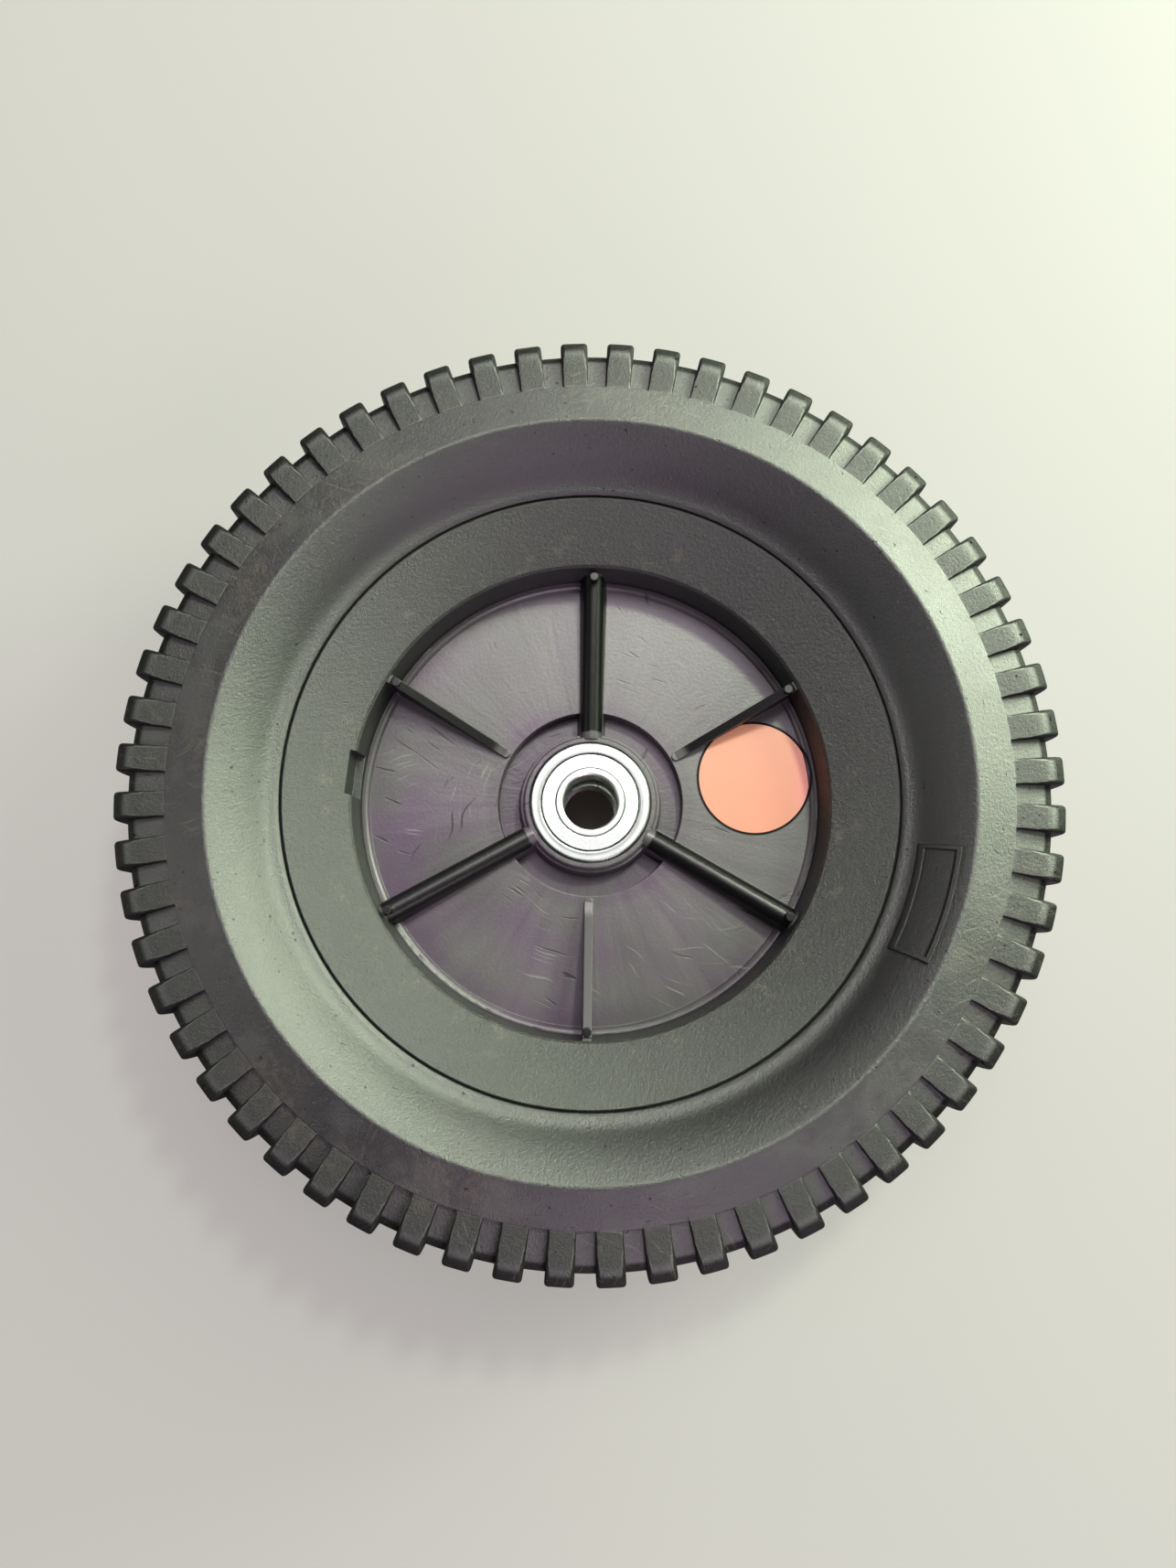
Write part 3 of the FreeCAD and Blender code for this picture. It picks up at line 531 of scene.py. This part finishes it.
def split_outline(outline):
    """The tread line from front shoulder to back shoulder, and the rest of the outline from there on."""
    count = len(outline)
    inner = next(index for index in range(count) if outline[index].x < SHOULDER_RADIUS - SIDE_REACH)
    turned = outline[inner:] + outline[:inner]
    top = max(range(count), key=lambda index: turned[index].x)
    start = end = top
    while turned[start - 1].x > SHOULDER_RADIUS + CLOSE:
        start -= 1
    while turned[end + 1].x > SHOULDER_RADIUS + CLOSE:
        end += 1
    tread = turned[start - 1:end + 2]
    rest = turned[end + 2:] + turned[:start - 1]
    if tread[0].y > tread[-1].y:
        tread.reverse()
        rest.reverse()
    kept = [rest[0]]
    for point in rest[1:]:
        if (point - kept[-1]).length > CLOSE:
            kept.append(point)
    return tread, kept


def resample(line, count, rounds):
    """The same line with evenly spaced points, its corners eased and its ends kept."""
    reach = [0.0]
    for a, b in zip(line, line[1:]):
        reach.append(reach[-1] + (b - a).length)
    points, index = [], 0
    for step in range(count):
        want = reach[-1] * step / (count - 1)
        while index < len(line) - 2 and reach[index + 1] < want:
            index += 1
        share = (want - reach[index]) / (reach[index + 1] - reach[index])
        points.append(line[index].lerp(line[index + 1], share))
    for _ in range(rounds):
        eased = [(a + b * 2 + c) / 4 for a, b, c in zip(points, points[1:], points[2:])]
        points = [points[0], *eased, points[-1]]
    return points


def eased_dish(rest):
    """The rest of the outline with both dishes' facets smoothed and their feet rounded."""
    result, run = [], []
    for point in [*rest, None]:
        if point and BACK - abs(point.y) < DISH_DEPTH and DISH_FOOT < point.x < DISH_TOP:
            run.append(point)
            continue
        result += resample(run, DISH_POINTS, DISH_ROUNDS) if len(run) > DISH_POINTS / 4 else run
        run = []
        if point:
            result.append(point)
    return result


def inset(line, depth):
    """A bar's line moved in to round its edges; depth is the distance inside the bar's side wall."""
    moved = []
    for index, point in enumerate(line):
        along = line[min(index + 1, len(line) - 1)] - line[max(index - 1, 0)]
        inward = Vector((-along.y, along.x)).normalized()
        out = point.x - SHOULDER_RADIUS
        share = min(1.0, max(0.0, out / SIDE_REACH)) ** 3
        radius = BAR_SIDE_ROUND + (BAR_TIP_ROUND - BAR_SIDE_ROUND) * share
        left = max(0.0, radius - depth)
        drop = radius - math.sqrt(radius ** 2 - left ** 2)
        moved.append(point + inward * drop * min(1.0, max(0.0, out / ROOT_FADE)))
    return moved


def bar_stations(bar, gap):
    """Angle from the bar's middle and tread line at each station of one bar and the gap after it."""
    sides = [(BAR_HALF - depth / TYRE_RADIUS, inset(bar, depth)) for depth in BAR_DEPTHS]
    pitch = 2 * math.pi / BAR_COUNT
    lean = BAR_HALF + WALL_LEAN / TYRE_RADIUS
    left = [(-turn, line) for turn, line in sides]
    right = [(turn, line) for turn, line in reversed(sides)]
    return left + [(0.0, bar)] + right + [(lean, gap), (pitch / 2, gap), (pitch - lean, gap)]


def make_tyre():
    """Loft the tyre round the axis from two sections of the CAD tyre, with its bars' edges rounded."""
    half_pitch = math.pi / BAR_COUNT
    bar, rest = split_outline(section("tyre", BAR_PHASE))
    gap = split_outline(section("tyre", BAR_PHASE + half_pitch))[0]
    rest = eased_dish(rest)
    bar, gap = [resample(line, TREAD_POINTS, TREAD_ROUNDS) for line in (bar, gap)]
    stations = bar_stations(bar, gap)
    points = []
    for index in range(BAR_COUNT):
        for turn, line in stations:
            angle = BAR_PHASE + 2 * half_pitch * index + turn
            points += [(p.x * math.cos(angle), p.y, p.x * math.sin(angle)) for p in line + rest]
    ring = TREAD_POINTS + len(rest)
    rows = BAR_COUNT * len(stations)
    faces = []
    for row in range(rows):
        here, there = row * ring, (row + 1) % rows * ring
        for step in range(ring):
            after = (step + 1) % ring
            faces.append((here + step, here + after, there + after, there + step))
    add_piece("tyre_cover", closed_mesh("tyre_cover", points, faces), "tyre_plastic", "tyre")
    return rest


# ---------------------------------------------------------------- blank frame on the tyre's dish

PLAQUE_ANGLE = math.radians(342.3)
PLAQUE_HALF = math.radians(9.5)
PLAQUE_INNER = 71.6 * MM
PLAQUE_OUTER = 79.0 * MM
PLAQUE_HEIGHT = 1.0 * MM
PLAQUE_FLOOR = 0.2 * MM
PLAQUE_BORDER = 1.0 * MM
PLAQUE_SLOPE = 0.22 * MM
PLAQUE_SINK = 0.4 * MM
PLAQUE_CELLS = 28


def surface_y(outline, radius):
    """Foremost y where an outline crosses a radius."""
    crossings = []
    for a, b in zip(outline, outline[1:]):
        if min(a.x, b.x) <= radius <= max(a.x, b.x) and a.x != b.x:
            crossings.append(a.y + (b.y - a.y) * (radius - a.x) / (b.x - a.x))
    return min(crossings)


def plaque_rise(edge):
    """Height of the frame over the dish at a distance from its nearest edge."""
    if edge < PLAQUE_SLOPE:
        return PLAQUE_HEIGHT * edge / PLAQUE_SLOPE
    if edge < PLAQUE_BORDER:
        return PLAQUE_HEIGHT
    fall = min(1.0, (edge - PLAQUE_BORDER) / PLAQUE_SLOPE)
    return PLAQUE_HEIGHT + (PLAQUE_FLOOR - PLAQUE_HEIGHT) * fall


def plaque_offsets(length):
    """Grid lines across the frame: at its edges and slopes, and even cells between."""
    edge = [0.0, PLAQUE_SLOPE, PLAQUE_BORDER, PLAQUE_BORDER + PLAQUE_SLOPE]
    cells = max(2, round(PLAQUE_CELLS * length / (2 * PLAQUE_HALF * PLAQUE_OUTER)))
    start, span = edge[-1], length - 2 * edge[-1]
    middle = [start + span * step / cells for step in range(1, cells)]
    return edge + middle + [length - offset for offset in reversed(edge)]


def make_plaque(outline):
    """Closed raised frame that follows the dish."""
    mean = (PLAQUE_INNER + PLAQUE_OUTER) / 2
    height, width = PLAQUE_OUTER - PLAQUE_INNER, 2 * PLAQUE_HALF * mean
    across, along = plaque_offsets(height), plaque_offsets(width)
    top, base = [], []
    for v in across:
        radius = PLAQUE_INNER + v
        dish = surface_y(outline, radius)
        for u in along:
            angle = PLAQUE_ANGLE - PLAQUE_HALF + u / mean
            rise = plaque_rise(min(u, width - u, v, height - v))
            top.append((radius * math.cos(angle), dish - rise, radius * math.sin(angle)))
            base.append((radius * math.cos(angle), dish + PLAQUE_SINK, radius * math.sin(angle)))
    columns, rows, under = len(along), len(across), len(top)
    faces = []
    for row in range(rows - 1):
        for column in range(columns - 1):
            corner = row * columns + column
            quad = (corner, corner + 1, corner + columns + 1, corner + columns)
            faces += [quad, tuple(index + under for index in quad)]
    rim = list(range(columns)) + [row * columns + columns - 1 for row in range(1, rows)]
    rim += [(rows - 1) * columns + column for column in range(columns - 2, -1, -1)]
    rim += [row * columns for row in range(rows - 2, 0, -1)]
    for a, b in zip(rim, rim[1:] + rim[:1]):
        faces.append((a, b, b + under, a + under))
    add_piece("plaque_frame", closed_mesh("plaque_frame", top + base, faces), "tyre_plastic")


# ---------------------------------------------------------------- sticker with lifted edges

LABEL_RINGS = 14
LABEL_STEPS = 96
LABEL_SHEET = 0.15 * MM
LABEL_GAP = 0.02 * MM
LABEL_CLIMB_RADIUS = 51.2 * MM
LABEL_CLIMB = 0.26 / MM


def label_lift(x, z):
    """How far the sticker stands off the web; it climbs the round at the wall's foot."""
    climb = max(0.0, math.hypot(x, z) - LABEL_CLIMB_RADIUS)
    return LABEL_GAP + climb ** 2 * LABEL_CLIMB


def make_label():
    """Round sticker built as a thin closed disc that follows the web and curls up at the wall."""
    middle = label_middle()
    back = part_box("label_dot")[1].y
    points, faces = [], []
    for offset in (0.0, LABEL_SHEET):
        hub = len(points)
        points.append((middle.x, back - label_lift(middle.x, middle.z) - offset, middle.z))
        for ring in range(1, LABEL_RINGS + 1):
            for step in range(LABEL_STEPS):
                turn = 2 * math.pi * step / LABEL_STEPS
                x = middle.x + LABEL_RADIUS * ring / LABEL_RINGS * math.cos(turn)
                z = middle.z + LABEL_RADIUS * ring / LABEL_RINGS * math.sin(turn)
                points.append((x, back - label_lift(x, z) - offset, z))
        for step in range(LABEL_STEPS):
            after = (step + 1) % LABEL_STEPS
            faces.append((hub, hub + 1 + step, hub + 1 + after))
            for ring in range(LABEL_RINGS - 1):
                inner = hub + 1 + ring * LABEL_STEPS
                outer = inner + LABEL_STEPS
                faces.append((inner + step, outer + step, outer + after, inner + after))
    layer = 1 + LABEL_RINGS * LABEL_STEPS
    rim = 1 + (LABEL_RINGS - 1) * LABEL_STEPS
    for step in range(LABEL_STEPS):
        after = (step + 1) % LABEL_STEPS
        faces.append((rim + step, rim + after, rim + after + layer, rim + step + layer))
    add_piece("label_sticker", closed_mesh("label_sticker", points, faces), "label_film", "label_dot")


# ---------------------------------------------------------------- stage, lights and camera

STAGE_HALF = 3.0
STAGE_SHADE = (0.065, 0.063, 0.061)
STAGE_GLOW = (0.33, 0.32, 0.30)
STAGE_PAINTED_SHADOW = (0.03, 0.019, 0.015)
WORLD_PALE = (0.74, 0.73, 0.70)
WORLD_FILL = (0.03, 0.03, 0.03)
WARM_GREEN = (0.87, 1.0, 0.74)
SOFT_VIOLET = (1.0, 0.80, 0.99)
PALE_VIOLET = (1.0, 0.87, 0.98)
NEUTRAL = (1.0, 1.0, 0.95)

CAMERA_PLACE = Vector((-0.0028, -0.2710, -0.0355))
CAMERA_PITCH = 8.31
CAMERA_YAW = -0.46
CAMERA_ROLL = 0.92
CAMERA_LENS_MM = 27.04
SENSOR_MM = 36.0


def make_stage():
    """Pale plane under the wheel's back, with a painted shadow under the wheel. It is clear from behind, so
    that the back can be seen.
    """
    mesh = bpy.data.meshes.new("stage_plane")
    size = STAGE_HALF
    corners = [(-size, BACK, -size), (size, BACK, -size), (size, BACK, size), (-size, BACK, size)]
    mesh.from_pydata(corners, [], [(0, 1, 2, 3)])
    plane = bpy.data.objects.new("stage_plane", mesh)
    bpy.context.scene.collection.objects.link(plane)
    plane.visible_shadow = False
    g = Graph("stage_pale")
    # Painted shadow: under the wheel the plane is dark and has no glow, so that the ground seen through the
    # bore reads deep.
    clear_of_painted_shadow = g.step(g.radius, node_radius("rear_bearing_inner_race") / MM, SEAM_RADIUS / MM)
    seen = g.node("ShaderNodeLightPath").outputs["Is Camera Ray"]
    shader = g.node("ShaderNodeBsdfPrincipled", Base_Color=g.mix(clear_of_painted_shadow, STAGE_PAINTED_SHADOW, STAGE_SHADE),
                    Roughness=0.8, Emission_Color=colour(STAGE_GLOW),
                    Emission_Strength=g.product(seen, clear_of_painted_shadow))
    clear = g.node("ShaderNodeBsdfTransparent")
    behind = g.node("ShaderNodeNewGeometry").outputs["Backfacing"]
    mixed = g.node("ShaderNodeMixShader", Fac=behind)
    g.tree.links.new(shader.outputs[0], mixed.inputs[1])
    g.tree.links.new(clear.outputs[0], mixed.inputs[2])
    out = g.node("ShaderNodeOutputMaterial")
    g.tree.links.new(mixed.outputs[0], out.inputs["Surface"])
    paint(plane, g.material)


def make_world():
    """Pale to the camera and dimmer to the object, so that the lamps model its shape."""
    world = bpy.data.worlds.new("studio")
    bpy.context.scene.world = world
    world.use_nodes = True
    tree = world.node_tree
    tree.nodes.clear()
    seen = tree.nodes.new("ShaderNodeLightPath").outputs["Is Camera Ray"]
    mixed = tree.nodes.new("ShaderNodeMix")
    mixed.data_type = "RGBA"
    tree.links.new(seen, mixed.inputs["Factor"])
    mixed.inputs["A"].default_value = colour(WORLD_FILL)
    mixed.inputs["B"].default_value = colour(WORLD_PALE)
    light = tree.nodes.new("ShaderNodeBackground")
    tree.links.new(mixed.outputs["Result"], light.inputs["Color"])
    out = tree.nodes.new("ShaderNodeOutputWorld")
    tree.links.new(light.outputs[0], out.inputs["Surface"])


def lamp(name, around, off_axis, width, radiance, tint, behind=False):
    """Round soft lamp that faces the wheel's middle."""
    area = math.pi * (width / 2) ** 2
    data = bpy.data.lights.new(name, "AREA")
    data.shape = "DISK"
    data.size = width
    data.energy = radiance * math.pi * area
    data.color = tint
    lit = bpy.data.objects.new(name, data)
    bpy.context.scene.collection.objects.link(lit)
    turn, lean = math.radians(around), math.radians(off_axis)
    forward = math.cos(lean) if behind else -math.cos(lean)
    aside = math.sin(lean)
    direction = Vector((aside * math.cos(turn), forward, aside * math.sin(turn)))
    lit.location = direction * LAMP_DISTANCE
    lit.rotation_mode = "QUATERNION"
    lit.rotation_quaternion = direction.to_track_quat("Z", "Y")


LAMP_DISTANCE = 1.2
# name, degrees round the axis from +X, degrees off the axis, width, radiance, tint
FRONT_LAMPS = (
    ("key", 61, 33, 0.14, 400.0, WARM_GREEN),
    ("key_side", 40, 66, 0.5, 19.0, WARM_GREEN),
    ("key_right", 30, 54, 0.5, 19.0, WARM_GREEN),
    ("low_key_right", 30, 78, 0.5, 68.0, WARM_GREEN),
    ("low_key_top", 55, 78, 0.5, 22.0, WARM_GREEN),
    ("straight_on", 90, 6, 0.9, 1.3, PALE_VIOLET),
    ("overhead", 90, 26, 0.6, 14.0, PALE_VIOLET),
    ("lower_fill", 291, 54, 0.45, 14.0, SOFT_VIOLET),
    ("lower_rim", 280, 76, 0.6, 10.0, SOFT_VIOLET),
    ("left_rim", 190, 76, 0.7, 5.6, NEUTRAL),
    ("upper_fill", 95, 60, 0.5, 8.4, NEUTRAL),
    ("right_fill", 350, 60, 0.5, 10.0, WARM_GREEN),
)
BACK_LAMPS = (
    ("back_key", 140, 40, 0.6, 17.0, NEUTRAL),
    ("back_top", 75, 66, 0.6, 21.0, WARM_GREEN),
    ("back_fill", 320, 55, 0.8, 6.0, SOFT_VIOLET),
)


def make_lights():
    for settings in FRONT_LAMPS:
        lamp(*settings)
    for settings in BACK_LAMPS:
        lamp(*settings, behind=True)


def make_camera():
    data = bpy.data.cameras.new("photo_camera")
    data.lens = CAMERA_LENS_MM
    data.sensor_width = SENSOR_MM
    data.clip_start = 0.01
    data.clip_end = 20.0
    camera = bpy.data.objects.new("photo_camera", data)
    bpy.context.scene.collection.objects.link(camera)
    yaw = Matrix.Rotation(math.radians(CAMERA_YAW), 4, "Z")
    pitch = Matrix.Rotation(math.radians(90 + CAMERA_PITCH), 4, "X")
    roll = Matrix.Rotation(math.radians(CAMERA_ROLL), 4, "Z")
    camera.matrix_world = Matrix.Translation(CAMERA_PLACE) @ yaw @ pitch @ roll
    bpy.context.scene.camera = camera


bpy.context.scene.view_settings.view_transform = "Standard"
paint_nodes()
make_plaque(make_tyre())
make_label()
make_stage()
make_world()
make_lights()
make_camera()
